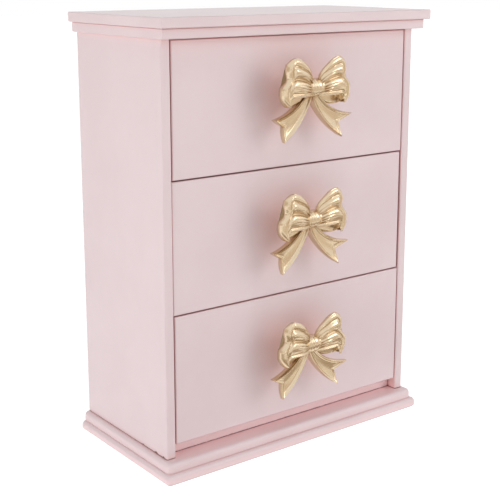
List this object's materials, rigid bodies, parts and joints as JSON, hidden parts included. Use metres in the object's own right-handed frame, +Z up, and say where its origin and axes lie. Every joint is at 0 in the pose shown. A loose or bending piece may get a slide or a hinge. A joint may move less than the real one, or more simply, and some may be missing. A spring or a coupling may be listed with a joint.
{
  "type": "drawer organizer",
  "caption": "Small upright tabletop chest with pull-out drawers, stepped top and plinth boards and cast bow-shaped knobs, for keeping crafts, trinkets and small parts.",
  "frame": {"origin": "middle of the base's underside", "axes": "+X to the right as seen from the front, +Y to the back, +Z up; the drawers open along -Y"},
  "size_m": [0.204, 0.1141, 0.2697],
  "materials": {
    "pink_paint": "satin pale pink paint",
    "bare_board": "bare fibreboard",
    "gold": "satin champagne gold plating",
    "steel": "zinc plated"
  },
  "bodies": {
    "carcass": {"lower_plinth": "pink_paint", "upper_plinth": "pink_paint", "left_side": "pink_paint", "right_side": "pink_paint", "bottom_board": "pink_paint", "lower_shelf": "bare_board", "upper_shelf": "bare_board", "back_panel": "pink_paint", "cornice_board": "pink_paint", "top_board": "pink_paint", "case_brads": "steel", "back_brads": "steel"},
    "bottom_drawer": {"bottom_drawer_front": "pink_paint", "bottom_drawer_left": "bare_board", "bottom_drawer_right": "bare_board", "bottom_drawer_back": "bare_board", "bottom_drawer_bottom": "bare_board", "bottom_bow_knob": "gold", "bottom_knob_screw": "steel"},
    "middle_drawer": {"middle_drawer_front": "pink_paint", "middle_drawer_left": "bare_board", "middle_drawer_right": "bare_board", "middle_drawer_back": "bare_board", "middle_drawer_bottom": "bare_board", "middle_bow_knob": "gold", "middle_knob_screw": "steel"},
    "top_drawer": {"top_drawer_front": "pink_paint", "top_drawer_left": "bare_board", "top_drawer_right": "bare_board", "top_drawer_back": "bare_board", "top_drawer_bottom": "bare_board", "top_bow_knob": "gold", "top_knob_screw": "steel"}
  },
  "joints": [
    {"name": "bottom_drawer_slide", "type": "slide", "parent": "carcass", "child": "bottom_drawer", "axis": [0, -1, 0], "range_m": [0, 0.065]},
    {"name": "middle_drawer_slide", "type": "slide", "parent": "carcass", "child": "middle_drawer", "axis": [0, -1, 0], "range_m": [0, 0.065]},
    {"name": "top_drawer_slide", "type": "slide", "parent": "carcass", "child": "top_drawer", "axis": [0, -1, 0], "range_m": [0, 0.065]}
  ]
}
